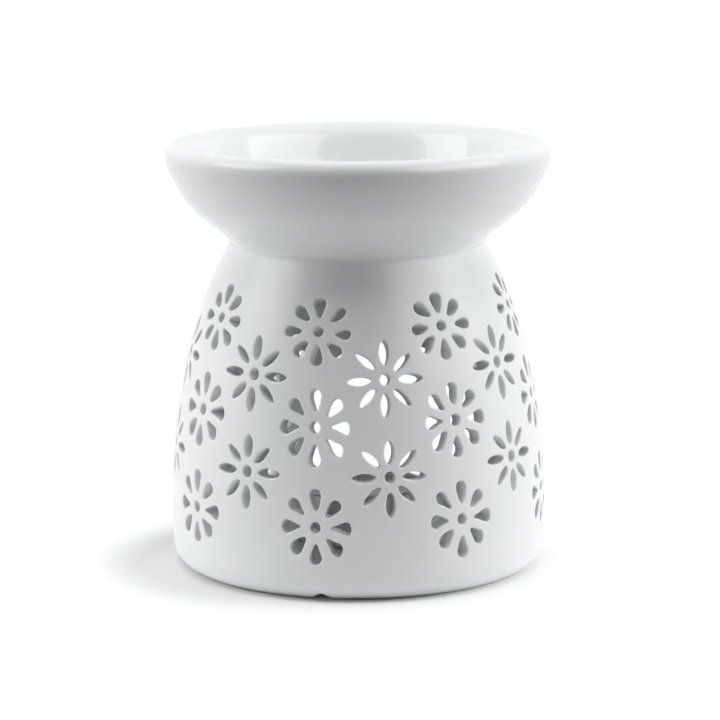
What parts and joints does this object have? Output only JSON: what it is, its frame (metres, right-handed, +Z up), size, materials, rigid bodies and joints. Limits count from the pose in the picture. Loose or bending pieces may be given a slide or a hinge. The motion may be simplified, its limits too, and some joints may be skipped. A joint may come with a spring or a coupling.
{
  "type": "oil burner",
  "caption": "White glazed oil burner: pierced dome with flower cut-outs and a rear arch for a tealight, under a lift-off flared oil dish.",
  "frame": {"origin": "centre of the foot ring, on the surface that the burner stands on", "axes": "+Z up the dome's axis; the front column of flowers and the foot notch face -Y; the arch for the candle faces +Y"},
  "size_m": [0.108, 0.108, 0.1195],
  "materials": {
    "white_glaze": "gloss",
    "dish_glaze": "gloss",
    "cup_metal": "satin",
    "wax": "satin",
    "wick_cotton": "matte",
    "tab_metal": "satin"
  },
  "bodies": {
    "burner": {"burner_body": "white_glaze"},
    "dish": {"oil_dish": "dish_glaze"},
    "tealight": {"tealight_cup": "cup_metal", "tealight_wax": "wax", "tealight_wick": "wick_cotton", "wick_sustainer": "tab_metal"}
  },
  "joints": [
    {"name": "dish_lift", "type": "slide", "parent": "burner", "child": "dish", "axis": [0, 0, 1], "range_m": [0, 0.06]},
    {"name": "tealight_slide", "type": "slide", "parent": "burner", "child": "tealight", "axis": [0, 0.9659, 0.2588], "range_m": [0, 0.085]}
  ]
}
